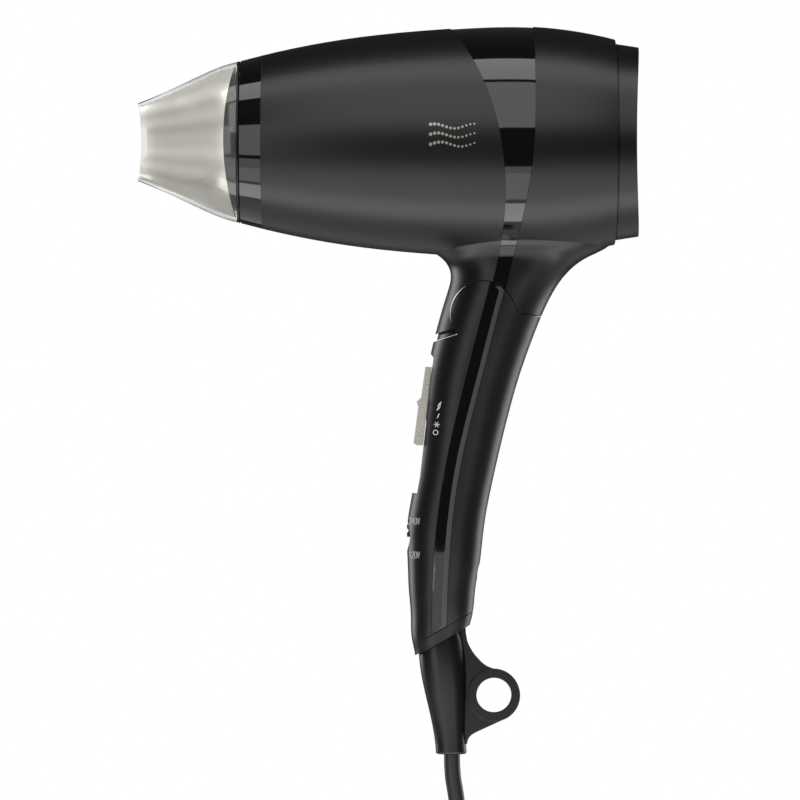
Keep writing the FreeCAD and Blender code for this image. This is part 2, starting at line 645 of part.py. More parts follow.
def inlet():
    guard = [tube("guard_rim", "X", (0, AXIS), 34.0, 29.2, 52.2, 54.4)]
    for index, radius in enumerate((6.0, 12.0, 18.0, 24.0)):
        guard.append(tube(f"guard_hoop_{index}", "X", (0, AXIS), radius + 0.6, radius - 0.6, 52.6, 54.0))
    for index in range(3):
        guard.append(spoke(f"guard_arm_{index}", (52.6, 54.0), 1.4, (-31.5, 31.5), 60 * index))
    node("inlet_guard", fuse("inlet_guard", *guard))

    cover_corners = (
        (57.8, 35.3),
        (66.2, 34.0),
        (66.2, 31.6),
        (63.6, 31.6),
        (63.6, 32.2),
        (59.2, 32.8),
        (55.2, 33.4),
        (55.2, 34.3),
        (57.8, 34.3),
    )
    cover = [turned("cover_rim", cover_corners)]
    for index in range(5):
        radius = 5.0 + 6.0 * index
        cover.append(tube(f"cover_hoop_{index}", "X", (0, AXIS), radius + 1.0, radius - 1.0, 60.6, 62.6))
    for index in range(4):
        cover.append(spoke(f"cover_arm_{index}", (60.8, 62.2), 1.8, (-32.6, 32.6), 45 * index))
    dish = rod("cover_dish", "Y", (386.1, AXIS), 322.0, -REACH, REACH)
    node("rear_cover", cut("rear_cover", fuse("cover_whole", *cover), dish))
    node("filter_mesh", filter_disc())


def filter_disc():
    """A thin disc pierced by rings of slots, standing for the woven lint filter."""
    slots = []
    for index in range(5):
        slots.append(tube(f"mesh_slot_{index}", "X", (0, AXIS), 7.4 + 5 * index, 3.6 + 5 * index, 50, 70))
    spokes = fuse("mesh_spokes", *axis_cross("mesh_spoke", (49, 71), 0.8, 40))
    disc = rod("mesh_disc", "X", (0, AXIS), 32.0, 59.6, 60.3)
    return cut("filter_mesh", disc, cut("mesh_holes", fuse("mesh_slots", *slots), spokes))


# ---------------------------------------------------------------- hinge, switches and what the handle holds
def hinge():
    hinge_at = ("dims.hinge_x", "dims.hinge_height")
    plates = []
    for side, low, high in (("right", -8.5, -6.0), ("left", 6.0, 8.5)):
        eye = rod(f"yoke_eye_{side}", "Y", hinge_at, 8.5, low, high)
        web = block(f"yoke_web_{side}", (5, 18), (low, high), ("dims.hinge_height", 74))
        plates += [eye, web]
    bridge = block("yoke_bridge", (9.5, 19), (-12.4, 12.4), (71.5, 74))
    bore = rod("yoke_bore", "Y", hinge_at, "dims.pin_radius + 1.25", -20, 20)
    screw_spots = ((14.5, -10.4), (14.5, 10.4))
    screw_holes = [rod(f"yoke_screw_hole_{i}", "Z", spot, 1.3, 70, 75) for i, spot in enumerate(screw_spots)]
    node("hinge_yoke", cut("hinge_yoke", fuse("yoke_whole", bridge, *plates), bore, *screw_holes))
    bushes = [
        tube(f"bush_{side}", "Y", hinge_at, "dims.pin_radius + 1.2", "dims.pin_radius + 0.03", low, high)
        for side, low, high in (("right_hinge", -8.7, -5.9), ("left_hinge", 5.9, 8.7))
    ]
    node("hinge_bushes", group("hinge_bushes", *bushes))
    pins = [
        rod(f"pin_{side}", "Y", hinge_at, "dims.pin_radius", low, high)
        for side, low, high in (("right", -13.0, -5.6), ("left", 5.6, 13.0))
    ]
    node("hinge_pins", group("hinge_pins", *pins))
    screws = [
        fuse(
            f"yoke_screw_{index}",
            rod(f"yoke_screw_head_{index}", "Z", spot, 1.8, 74.02, 75.4),
            rod(f"yoke_screw_shank_{index}", "Z", spot, 1.2, 69.4, 74.4),
        )
        for index, spot in enumerate(screw_spots)
    ]
    node("yoke_screws", group("yoke_screws", *screws))


# Outlines in X, Z: the slider with the ridge for the thumb, its carrier, and the voltage selector's knob.
SLIDER = (
    (-8.4, 37.0),
    (-10.6, 37.2),
    (-12.2, 26.0),
    (-13.8, 24.6),
    (-13.2, 22.8),
    (-14.9, 9.6),
    (-13.6, 8.9),
    (-11.5, 8.9),
)
CARRIER_STEM = ((-4.0, 22.3), (-4.0, 18.7), (-12.0, 17.8), (-12.0, 21.4))
CARRIER_FOOT = ((-2.3, 26.0), (-3.6, 14.6), (-5.8, 14.4), (-4.5, 25.8))
SELECTOR_KNOB = (
    (-17.3, -19.6),
    (-17.3, -21.0),
    (-16.8, -21.4),
    (-16.8, -22.2),
    (-17.3, -22.6),
    (-17.3, -24.0),
    (-13.0, -24.0),
    (-13.0, -19.6),
)


def controls():
    node("heat_slider", slab("heat_slider", SLIDER, "dims.slider_width"))
    foot = slab("carrier_foot", CARRIER_FOOT, 9.0)
    stem_bar = slab("carrier_stem", CARRIER_STEM, 4.0)
    carrier = fuse("carrier_whole", foot, stem_bar)
    node("slider_carrier", cut("slider_carrier", carrier, nodes["heat_slider"]))
    body = slab("switch_base", ((2.4, 30.0), (0.0, 1.4), (-1.8, 1.2), (-0.4, 30.2)), 11.0)
    rails = [
        slab(f"switch_rail_{i}", ((0.0, 30.0), (-2.4, 1.4), (-7.2, 0.9), (-4.8, 29.5)), 1.0, middle)
        for i, middle in enumerate((-5.4, 5.4))
    ]
    node("heat_switch", fuse("heat_switch", body, *rails))
    node("voltage_selector", slab("selector_knob", SELECTOR_KNOB, 3.8))
    shell = block("voltage_body", (-12.9, -7.5), (-4.5, 4.5), (-30.5, -17.5))
    node("voltage_switch", shell)

    board = block("board", (0, 1.6), (-7, 7), (0, 48))
    for letter in "xyz":
        board.setExpression(f"Placement.Base.{letter}", None)
    board.Placement = Placement(Vector(-3.4, -7, -28.0), Rotation(Vector(0, 1, 0), 7))
    node("circuit_board", board)
    node("suppression_capacitor", tilted_block("capacitor", (1.75, 7.0), (-5, 5), (26, 38)))
    diodes = [tilted_rod(f"diode_{i}", (2.9, -4.5 + 3 * i), 1.1, (8, 14)) for i in range(4)]
    node("rectifier_diodes", group("rectifier_diodes", *diodes))
    node("choke_coil", tilted_rod("choke", (4.0, 0.0), 2.3, (15.5, 24.5)))


def tilted_block(name, x, y, z):
    """A box in the circuit board's own leaning frame."""
    item = doc.addObject("Part::Box", name)
    item.Length, item.Width, item.Height = x[1] - x[0], y[1] - y[0], z[1] - z[0]
    lean = Rotation(Vector(0, 1, 0), 7)
    item.Placement = Placement(Vector(-3.4, 0, -28.0) + lean.multVec(Vector(x[0], y[0], z[0])), lean)
    return item


def tilted_rod(name, centre, radius, z):
    """A cylinder in the circuit board's own leaning frame."""
    item = doc.addObject("Part::Cylinder", name)
    item.Radius, item.Height = radius, z[1] - z[0]
    lean = Rotation(Vector(0, 1, 0), 7)
    foot = lean.multVec(Vector(centre[0], centre[1], z[0]))
    item.Placement = Placement(Vector(-3.4, 0, -28.0) + foot, lean)
    return item


def handle_fixings():
    node("handle_screw", fuse(
        "handle_screw",
        rod("handle_screw_head", "X", (0, -36), 2.4, 4.55, 6.6),
        rod("handle_screw_shank", "X", (0, -36), 1.25, -6.8, 5.0),
    ))
    screws = []
    for index, angle in enumerate((90, 210, 330)):
        spot = on_screw_circle(angle)
        screws.append(fuse(
            f"barrel_screw_{index}",
            rod(f"barrel_screw_head_{index}", "X", spot, 1.9, 50.42, 51.9),
            rod(f"barrel_screw_shank_{index}", "X", spot, 1.05, 3, 51.0),
        ))
    node("barrel_screws", group("barrel_screws", *screws))


# ---------------------------------------------------------------- strain relief and cord
def boot_form(inset):
    wires = []
    for index in range(len(BOOT)):
        height, front, back, half = (size(f"boot_{index}_{column}") for column in OVAL_COLUMNS)
        wires.append(oval(height, front + inset, back - inset, half - inset))
    return Part.makeLoft(wires, True, False, False, 3)


def rounded_foot(shape, radius):
    """Round the edge round the lowest face."""
    lowest = min(shape.Faces, key=lambda face: face.CenterOfMass.z)
    return shape.makeFillet(radius, lowest.Edges)


# The web that joins the hanging loop to the strain relief: X, Z. Its edges curve like the moulded one's.
LOOP_WEB = (
    (0.0, -58.75),
    (3.8, -56.65),
    (3.9, -58.6),
    (4.4, -61.4),
    (5.2, -63.4),
    (6.3, -65.3),
    (7.3, -66.7),
    (8.5, -68.0),
    (9.7, -69.3),
    (11.0, -70.3),
    (12.4, -71.0),
    (14.4, -71.7),
    (18.0, -80.0),
    (18.7, -89.2),
    (7.6, -94.3),
    (6.2, -95.1),
    (5.2, -96.0),
    (4.6, -97.1),
    (4.3, -98.6),
    (0.0, -98.6),
)


def strain_relief():
    stem = feature("collar_form", stem_form(0))
    collar_zone = sloped_zone("collar_zone", (-30.0, -75.3, -71.15), (20.0, -47.5, -43.35))
    boot_room = feature("boot_room", boot_form(-0.05))
    above_floor = sloped_zone("collar_hollow_zone", (-30.0, -73.4, -68.0), (20.0, -45.6, -40.0))
    hollow = common("collar_hollow", feature("collar_inside", stem_form(size("wall") - 0.4)), above_floor)
    cord_at, cord_radius = ("dims.cord_x", 0), "dims.cord_diameter / 2"
    cord_room = rod("collar_cord_room", "Z", cord_at, cord_radius + " + 0.1", -80, -40)
    ring_of_stem = common("collar_ring", stem, collar_zone)
    node("end_collar", cut("end_collar", ring_of_stem, boot_room, hollow, cord_room))
    loop_at = ("dims.loop_x", "dims.loop_height")
    web = slab("loop_web", LOOP_WEB, 3.4)
    loop = rod("loop_boss", "Y", loop_at, "dims.loop_radius", -2.7, 2.7)
    body = fuse("boot_body", feature("boot_form", rounded_foot(boot_form(0), 0.9)), web, loop)
    cord_hole = rod("boot_cord_hole", "Z", cord_at, cord_radius + " + 0.05", "dims.boot_end - 1", -50)
    hole = rod("loop_hole_tool", "Y", loop_at, "dims.loop_hole", -5, 5)
    node("cord_boot", cut("cord_boot", body, cord_hole, hole))
    clamp = block("clamp_bar", (-9.5, 0.3), (-5.0, 5.0), (-52.2, -48.2))
    clamp_hole = rod("clamp_hole", "Z", cord_at, cord_radius + " + 0.05", -60, -40)
    node("cord_clamp", cut("cord_clamp", clamp, clamp_hole))
    node("cord_inside", rod("cord_inside", "Z", cord_at, cord_radius, "dims.boot_end", -44.0))
    wires = [rod(f"core_{i}", "Z", (-2.6, y), 0.9, -46.0, -29.5) for i, y in enumerate((-4.6, 4.6))]
    node("supply_wires", group("supply_wires", *wires))


# The cord hangs from the strain relief to the top of the hank, and from its foot to the plug: X, Z.
CORD_DROP = ((-1.1, -102.2), (-1.1, -109.0), (0.4, -117.0), (1.2, -125.0), (0.4, -133.0))
TAIL_DROP = ((6.0, -249.0), (6.6, -258.0), (5.2, -268.0), (5.6, -277.0))


def cord_sweep(name, points):
    """A round cord along straight runs joined by tangent arcs."""
    spots = [Vector(x, 0, z) for x, z in points]
    edges, start, length = [], spots[0], 0.0
    radii = []
    for before, corner, after in zip(spots, spots[1:], spots[2:]):
        back, ahead = before - corner, after - corner
        turn = math.pi - back.getAngle(ahead)
        setback = 0.45 * min(back.Length, ahead.Length)
        radii.append(setback / math.tan(turn / 2))
        first = corner + Vector(back).normalize() * setback
        last = corner + Vector(ahead).normalize() * setback
        middle = corner + (Vector(back).normalize() + Vector(ahead).normalize()).normalize() * (
            radii[-1] / math.cos(turn / 2) - radii[-1]
        )
        edges += [Part.makeLine(start, first), Part.Arc(first, middle, last).toShape()]
        start = last
    edges.append(Part.makeLine(start, spots[-1]))
    path = Part.Wire(edges)
    length = path.Length
    section = Part.Wire(Part.makeCircle(size("cord_diameter") / 2, spots[0], spots[1] - spots[0]))
    shape = path.makePipeShell([section], True, False)
    expected = math.pi * size("cord_diameter") ** 2 / 4 * length
    print(name, "bend radii", [round(r, 1) for r in radii], "length", round(length, 1))
    print(name, "volume over section times length", round(shape.Volume / expected, 4))
    return feature(name, shape)


def cord():
    node("cord_drop", cord_sweep("cord_drop", CORD_DROP))
    node("cord_tail", cord_sweep("cord_tail", TAIL_DROP))
    node("cord_hank", hank())
    node("cord_tie", tie())
    plug()


def hank():
    """The closed outer shape of the tied hank: two flat round loops that narrow to a waist."""
    half, depth = "dims.hank_width / 2", "dims.hank_depth / 2"
    waist, thin, narrow = "dims.waist_width / 2", "dims.waist_depth / 2", "dims.waist_height / 2"
    middle = "dims.hank_top - dims.hank_length / 2"
    levels = (f"{middle} - {narrow}", f"{middle} + {narrow}")
    parts = [block("hank_waist", (f"-{waist}", waist), (f"-{thin}", thin), levels)]
    rise = f"(dims.hank_length / 2 - {half})"
    between = (f"{middle} - {rise}", f"{middle} + {rise}")
    for name, side in (("upper", "+"), ("lower", "-")):
        centre = f"{middle} {side} {rise}"
        edge = f"{middle} {side} {narrow}"
        loop = rod(f"hank_{name}_loop", "Y", (0, centre), half, f"-{depth}", depth)
        gap = block(f"hank_{name}_gap", (-REACH, REACH), (-REACH, REACH), between)
        parts.append(cut(f"hank_{name}_end", loop, gap))
        corners = ((f"-{half}", centre), (half, centre), (waist, edge), (f"-{waist}", edge))
        parts.append(slab(f"hank_{name}_taper", corners, "dims.hank_depth"))
    return fuse("cord_hank", *parts)


def tie():
    """A strap with square corners round the hank's waist."""
    middle = "dims.hank_top - dims.hank_length / 2"
    across, deep = "dims.waist_width / 2 + 0.05", "dims.waist_depth / 2 + 0.05"

    def layer(name, wall, half_height):
        reach = [(f"-({half}) - {wall}", f"{half} + {wall}") for half in (across, deep)]
        return block(name, *reach, (f"{middle} - {half_height}", f"{middle} + {half_height}"))

    outside = layer("tie_outside", "dims.tie_wall", "dims.tie_height / 2")
    return cut("cord_tie", outside, layer("tie_inside", 0, "dims.tie_height"))


def plug():
    """A two-pin plug: round sleeve, flat shoulder and two pins, pointing down."""
    top, shoulder_foot = "dims.plug_top", "dims.plug_top - 34"
    sleeve = rod("plug_sleeve", "Z", ("dims.plug_x", 0), 4.6, f"{top} - 16", top)
    across = ("dims.plug_x - 13.6", "dims.plug_x + 13.6")
    shoulder = block("plug_shoulder", across, (-6.2, 6.2), (shoulder_foot, f"{top} - 14"))
    node("plug_body", fuse("plug_body", sleeve, shoulder))
    pins = []
    for index, side in enumerate((-1, 1)):
        spot = (f"dims.plug_x + {side} * dims.plug_pin_spacing / 2", 0)
        levels = (f"{shoulder_foot} - dims.plug_pin_length", shoulder_foot)
        pins.append(rod(f"plug_pin_{index}", "Z", spot, "dims.plug_pin_radius", *levels))
    node("plug_pins", group("plug_pins", *pins))


# ---------------------------------------------------------------- the whole dryer
def check_and_export():
    doc.recompute()
    failed = [item.Name for item in doc.Objects if "Invalid" in item.State or "Error" in item.State]
    for name, item in nodes.items():
        if item.Shape.isNull() or not item.Shape.isValid() or not item.Shape.Solids:
            failed.append(name)
    if failed:
        raise RuntimeError(f"failed objects: {failed}")
    os.makedirs("parts", exist_ok=True)
    for name, item in nodes.items():
        item.Shape.exportStep(f"parts/{name}.step")
        print(name, len(item.Shape.Solids), "solids", round(item.Shape.Volume / 1000, 2), "cm3")


fill_sheet()
casings()
outlet()
airflow()
inlet()
hinge()
controls()
handle_fixings()
strain_relief()
cord()
check_and_export()
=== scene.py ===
"""Looks of the folding travel hair dryer: camera, cord, finishes, printed signs and light."""

import json
import math

import bmesh
import bpy
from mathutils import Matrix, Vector
from mathutils.bvhtree import BVHTree


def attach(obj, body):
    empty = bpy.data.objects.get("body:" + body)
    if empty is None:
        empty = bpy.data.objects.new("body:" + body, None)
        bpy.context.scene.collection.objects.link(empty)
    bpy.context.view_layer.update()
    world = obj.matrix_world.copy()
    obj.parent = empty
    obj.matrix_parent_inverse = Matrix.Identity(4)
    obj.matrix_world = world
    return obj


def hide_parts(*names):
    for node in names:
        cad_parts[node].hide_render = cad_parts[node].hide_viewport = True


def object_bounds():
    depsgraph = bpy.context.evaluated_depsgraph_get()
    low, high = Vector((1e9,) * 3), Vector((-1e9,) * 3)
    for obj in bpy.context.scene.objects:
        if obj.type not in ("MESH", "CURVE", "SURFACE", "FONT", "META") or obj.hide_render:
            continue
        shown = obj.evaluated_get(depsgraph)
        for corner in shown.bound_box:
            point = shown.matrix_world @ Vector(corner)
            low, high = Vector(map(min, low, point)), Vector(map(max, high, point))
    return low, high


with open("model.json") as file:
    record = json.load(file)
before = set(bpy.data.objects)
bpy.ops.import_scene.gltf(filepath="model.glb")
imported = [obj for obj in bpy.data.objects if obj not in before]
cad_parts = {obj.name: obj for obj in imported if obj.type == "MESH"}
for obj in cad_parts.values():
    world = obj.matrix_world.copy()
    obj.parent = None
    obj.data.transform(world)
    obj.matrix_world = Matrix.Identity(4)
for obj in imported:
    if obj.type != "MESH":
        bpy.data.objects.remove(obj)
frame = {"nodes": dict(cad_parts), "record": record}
cad_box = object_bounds()
NODES = frame["nodes"]
RECORD = frame["record"]
MM = 0.001
BARREL_AXIS = 118.0  # height of the barrel's axis, in mm
ALMOST_ZERO = 1e-6


# ---------------------------------------------------------------- camera
VIEW_WIDTH = 0.288  # what the view takes in at the object
VIEW_CENTRE = (-0.0198, 0.0252)  # X and Z
LENS = 250.0
SENSOR = 36.0


def make_camera():
    data = bpy.data.cameras.new("camera")
    data.lens = LENS
    data.sensor_width = SENSOR
    data.clip_end = 20.0
    camera = bpy.data.objects.new("camera", data)
    distance = VIEW_WIDTH * LENS / SENSOR
    camera.location = (VIEW_CENTRE[0], -distance, VIEW_CENTRE[1])
    camera.rotation_euler = (math.radians(90), 0, 0)
    bpy.context.collection.objects.link(camera)
    bpy.context.scene.camera = camera


# ---------------------------------------------------------------- finishes
def add(tree, kind, settings=None, **inputs):
    """A shader node; an input is a number, a colour or another node's socket."""
    item = tree.nodes.new("ShaderNode" + kind)
    for key, value in (settings or {}).items():
        setattr(item, key, value)
    for key, value in inputs.items():
        socket = item.inputs[key.replace("_", " ")]
        if isinstance(value, bpy.types.NodeSocket):
            tree.links.new(value, socket)
        else:
            socket.default_value = value
    return item


def blend_colours(tree, factor, first, second):
    mix = tree.nodes.new("ShaderNodeMix")
    mix.data_type = "RGBA"
    for socket, value in ((mix.inputs[0], factor), (mix.inputs[6], first), (mix.inputs[7], second)):
        if isinstance(value, bpy.types.NodeSocket):
            tree.links.new(value, socket)
        else:
            socket.default_value = (*value, 1.0)
    return mix.outputs[2]


def noise(tree, place, size_mm, detail=2.0, stretch=(1, 1, 1)):
    """Noise whose features are about size_mm across."""
    mapped = add(tree, "Mapping", Vector=place, Scale=stretch).outputs["Vector"]
    item = add(tree, "TexNoise", Vector=mapped, Scale=1000.0 / size_mm, Detail=detail)
    return item.outputs["Fac"]


def finish(
    name, dark, light, roughness, grain=0.3, depth=0.01, blotch=25.0, stretch=(1, 1, 1), edge=0.0, **shader
):
    """A surface with mottled colour, uneven gloss and fine relief; sizes in mm."""
    material = bpy.data.materials.new(name)
    material.use_nodes = True
    tree = material.node_tree
    principled = tree.nodes["Principled BSDF"]
    for key, value in shader.items():
        principled.inputs[key.replace("_", " ")].default_value = value
    place = add(tree, "TexCoord").outputs["Object"]
    fine = noise(tree, place, grain, 3.0, stretch)
    broad = noise(tree, place, blotch)
    tree.links.new(blend_colours(tree, broad, dark, light), principled.inputs["Base Color"])
    gloss = add(tree, "MapRange", Value=fine, To_Min=roughness[0], To_Max=roughness[1])
    tree.links.new(gloss.outputs["Result"], principled.inputs["Roughness"])
    bump = add(tree, "Bump", Height=fine, Distance=depth * MM, Strength=1.0)
    if edge:
        rounded = add(tree, "Bevel", {"samples": 4}, Radius=edge * MM)
        tree.links.new(rounded.outputs["Normal"], bump.inputs["Normal"])
    tree.links.new(bump.outputs["Normal"], principled.inputs["Normal"])
    return material


HIGHLIGHT_STREAK_RANGE = (0.32, 0.68)  # the noise values that show as fully dark and fully light in the painted highlight streaks


def highlight_streaked_cone(name, dark, light, roughness, apex_mm, streak=7.0, **shader):
    """Metallic lacquer with painted highlight streaks: light and dark streaks in its colour stand in for
    reflections and run together towards a point on the barrel's axis.
    """
    material = finish(name, dark, light, roughness, grain=0.6, depth=0.001, **shader)
    tree = material.node_tree
    principled = tree.nodes["Principled BSDF"]
    place = add(tree, "TexCoord").outputs["Object"]
    parts = add(tree, "SeparateXYZ", Vector=place).outputs
    run = add(tree, "Math", {"operation": "SUBTRACT"})
    tree.links.new(parts["X"], run.inputs[0])
    run.inputs[1].default_value = apex_mm * MM
    rise = add(tree, "Math", {"operation": "SUBTRACT"})
    tree.links.new(parts["Z"], rise.inputs[0])
    rise.inputs[1].default_value = BARREL_AXIS * MM
    slope = add(tree, "Math", {"operation": "DIVIDE"})
    tree.links.new(rise.outputs[0], slope.inputs[0])
    tree.links.new(run.outputs[0], slope.inputs[1])
    near_side = add(tree, "Math", {"operation": "SIGN"})
    tree.links.new(parts["Y"], near_side.inputs[0])
    fan = add(tree, "CombineXYZ", X=slope.outputs[0], Y=near_side.outputs[0])
    # painted highlight streaks: noise bands between the dark and the light colour stand in for reflections on
    # the insert
    streaks = add(tree, "TexNoise", Vector=fan.outputs["Vector"], Scale=streak, Detail=1.0)
    low, high = HIGHLIGHT_STREAK_RANGE
    painted_highlight = add(tree, "MapRange", Value=streaks.outputs["Fac"], From_Min=low, From_Max=high)
    colour = blend_colours(tree, painted_highlight.outputs["Result"], dark, light)
    tree.links.new(colour, principled.inputs["Base Color"])
    return material


FINISHES = {
    "casing_black": finish(
        "casing_black", (0.0035, 0.0035, 0.0038), (0.0050, 0.0050, 0.0053), (0.30, 0.38),
        grain=0.40, depth=0.016, edge=0.25,
    ),
    "trim_gloss": finish(
        "trim_gloss", (0.0020, 0.0020, 0.0022), (0.0030, 0.0030, 0.0032), (0.04, 0.09),
        grain=2.5, depth=0.0004, stretch=(0.3, 1, 1), edge=0.15, Coat_Weight=0.5, Coat_Roughness=0.03,
    ),
    "clear_shell": finish(
        "clear_shell", (0.86, 0.86, 0.85), (0.90, 0.90, 0.89), (0.015, 0.04),
        grain=6.0, depth=0.001, Transmission_Weight=1.0, IOR=1.47,
    ),
    # the insert's colour carries painted highlight streaks that stand in for reflections
    "champagne": highlight_streaked_cone(
        "champagne", (0.46, 0.44, 0.37), (0.92, 0.91, 0.86), (0.34, 0.42), apex_mm=-160.0, Metallic=0.75
    ),
    "slider_champagne": finish(
        "slider_champagne", (0.60, 0.58, 0.51), (0.70, 0.68, 0.61), (0.24, 0.32),
        grain=0.4, depth=0.001, stretch=(1, 0.1, 1), edge=0.35, Metallic=0.35,
    ),
    "inner_dark": finish("inner_dark", (0.010, 0.010, 0.010), (0.018, 0.018, 0.017), (0.5, 0.65), edge=0.2),
    "white_plastic": finish("white_plastic", (0.62, 0.61, 0.57), (0.72, 0.71, 0.68), (0.35, 0.5)),
    "steel": finish(
        "steel", (0.42, 0.42, 0.43), (0.55, 0.55, 0.55), (0.22, 0.40),
        grain=0.25, depth=0.003, stretch=(0.1, 1, 1), Metallic=1.0,
    ),
    "coil_wire": finish(
        "coil_wire", (0.16, 0.13, 0.11), (0.32, 0.30, 0.30), (0.3, 0.5), grain=0.8, blotch=3.0, Metallic=1.0
    ),
    "mica": finish(
        "mica", (0.42, 0.33, 0.22), (0.62, 0.55, 0.42), (0.25, 0.6),
        grain=2.2, depth=0.02, blotch=5.0, Subsurface_Weight=0.1,
    ),
    "brass": finish(
        "brass", (0.50, 0.36, 0.13), (0.62, 0.46, 0.20), (0.2, 0.35), stretch=(1, 0.1, 1), Metallic=1.0
    ),
    "board": finish("board", (0.015, 0.10, 0.035), (0.025, 0.16, 0.05), (0.3, 0.45), grain=0.5, blotch=1.6),
    "rubber_black": finish(
        "rubber_black", (0.0030, 0.0030, 0.0032), (0.0042, 0.0042, 0.0044), (0.28, 0.36),
        grain=0.30, depth=0.006, edge=0.5,
    ),
    "cord_black": finish(
        "cord_black", (0.0080, 0.0080, 0.0085), (0.0120, 0.0120, 0.0125), (0.34, 0.46),
        grain=0.5, depth=0.012,
    ),
    "tie_fabric": finish(
        "tie_fabric", (0.010, 0.010, 0.010), (0.030, 0.030, 0.030), (0.75, 0.95),
        grain=0.5, depth=0.08, blotch=1.0,
    ),
    "print_white": finish("print_white", (0.70, 0.70, 0.68), (0.80, 0.80, 0.79), (0.4, 0.5)),
    "print_grey": finish("print_grey", (0.30, 0.30, 0.30), (0.38, 0.38, 0.38), (0.4, 0.5)),
    "print_champagne": finish(
        "print_champagne", (0.40, 0.37, 0.30), (0.52, 0.49, 0.42), (0.3, 0.4), Metallic=0.5
    ),
    # painted reflection: a lighter grey for the line inside each gloss strip's rear edge, standing in for a
    # light panel's reflection on the strip's curve
    "strip_painted_reflection": finish("strip_painted_reflection", (0.042, 0.042, 0.044), (0.052, 0.052, 0.054), (0.35, 0.45)),
    "copper": finish(
        "copper", (0.45, 0.17, 0.08), (0.62, 0.26, 0.13), (0.2, 0.35),
        grain=0.45, depth=0.08, stretch=(0.05, 1, 1), Metallic=1.0,
    ),
}


def finish_cad_nodes():
    """Every CAD node that stays shows the finish of its slot."""
    for row in RECORD["subparts"]:
        item = NODES[row["node"]]
        for slot in item.material_slots:
            slot.link = "OBJECT"
            slot.material = FINISHES[row["material_slot"]]


def piece(name, corners, faces, finish_name, body, stands_for=(), smooth=True):
    """A mesh piece, given in mm, that rides on a CAD body."""
    mesh = bpy.data.meshes.new(name)
    mesh.from_pydata([Vector(corner) * MM for corner in corners], [], faces)
    mesh.validate()
    mesh.polygons.foreach_set("use_smooth", [smooth] * len(mesh.polygons))
    mesh.materials.append(FINISHES[finish_name])
    item = bpy.data.objects.new(name, mesh)
    bpy.context.collection.objects.link(item)
    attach(item, body)
    if stands_for:
        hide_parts(*stands_for)
    return item


# ---------------------------------------------------------------- cord
CORD_DIAMETER = 5.8
CORD_DROP = ((-1.1, -102.2), (-1.1, -109.0), (0.4, -117.0), (1.2, -125.0), (0.4, -133.0))
TAIL_DROP = ((6.0, -249.0), (6.6, -258.0), (5.2, -268.0), (5.6, -277.0))
HANK_MIDDLE = -191.0
HANK_HALF_HEIGHT = 54.9  # of the outer ring of turns, at the middle of the cord
HANK_HALF_WIDTH = 26.0
WAIST_COLUMN = 13.6  # where the outer ring passes the waist
LAYERS = {"a": -8.7, "b": -2.9, "c": 2.9, "d": 8.7}
LAYER_SHRINK = {"a": 1.6, "b": 0.0, "c": 0.8, "d": 2.6}
INNER, OUTER = 1.0, 0.0
SIDE_STATIONS = 8  # control points down each side of a turn


def half_turn_stations(ring, shrink):
    """Points down the right side of one turn: X, Z from the hank's middle, and how far its layer fans out."""
    inset = ring * CORD_DIAMETER
    height = HANK_HALF_HEIGHT - inset - shrink
    width = HANK_HALF_WIDTH - inset - 0.4 * shrink
    centre = height - width
    near, far = math.tan(math.radians(22.5)) * width, width
    upper = [
        (near, centre + far, 2.9),
        (far, centre + near, 2.3),
        (width - 0.8, centre - 7.5, 1.2),
        (WAIST_COLUMN - inset, 9.5, 0.0),
    ]
    return upper + [(x, -z, fan) for x, z, fan in reversed(upper)]


def hank_point(station, ring, layer_y, shrink):
    """Control point number station of a turn, clockwise from the top."""
    stations = half_turn_stations(ring, shrink)
    side = 1
    if station >= SIDE_STATIONS:
        side, station = -1, 2 * SIDE_STATIONS - 1 - station
    x, z, fan = stations[station]
    sideways = max(-1.0, min(1.0, layer_y / LAYERS["c"]))
    return (side * x, layer_y + fan * sideways, HANK_MIDDLE + z)


# Each turn: its layer and ring, and its last stations on the way to the next turn's place,
# as station: (ring, share of the way to the next layer).
TURNS = (
    ("a", INNER, {14: (0.8, 0.0), 15: (0.4, 0.0)}),
    ("a", OUTER, {13: (OUTER, 0.1), 14: (OUTER, 0.3), 15: (OUTER, 0.7)}),
    ("b", OUTER, {13: (0.2, 0.0), 14: (0.7, 0.0), 15: (INNER, 0.0)}),
    ("b", INNER, {13: (INNER, 0.2), 14: (INNER, 0.6), 15: (INNER, 1.0)}),
    ("c", INNER, {14: (0.8, 0.0), 15: (0.4, 0.0)}),
    ("c", OUTER, {13: (OUTER, 0.1), 14: (OUTER, 0.3), 15: (OUTER, 0.7)}),
    ("d", OUTER, {}),
)
# Where the first turn starts and the last one ends, on the right side.
FIRST_STATION, LAST_STATION = 3, 4


def hank_route():
    """The turns of the hank, from its top to its foot."""
    points = [(0.4, -0.2, -143.0), (0.2, -1.8, -156.0), (1.6, -5.4, -169.0)]
    for number, (layer, ring, changes) in enumerate(TURNS):
        last = number == len(TURNS) - 1
        following = layer if last else TURNS[number + 1][0]
        came_from = hank_ring_before(number)
        first = 0 if number else FIRST_STATION
        for station in range(first, LAST_STATION + 1 if last else 2 * SIDE_STATIONS):
            here, share = changes.get(station, (ring, 0.0))
            if station == 0:
                here = 0.5 * (came_from + ring)
            level = LAYERS[layer] + share * (LAYERS[following] - LAYERS[layer])
            shrink = LAYER_SHRINK[layer] + share * (LAYER_SHRINK[following] - LAYER_SHRINK[layer])
            points.append(hank_point(station, here, level, shrink))
    return points + [(6.6, 7.2, -211.0), (5.2, 3.2, -224.0), (5.4, 0.4, -237.0)]


def hank_ring_before(number):
    """The ring in which the turn before this one ends."""
    _, ring, changes = TURNS[max(number - 1, 0)]
    return changes.get(2 * SIDE_STATIONS - 1, (ring, 0.0))[0]


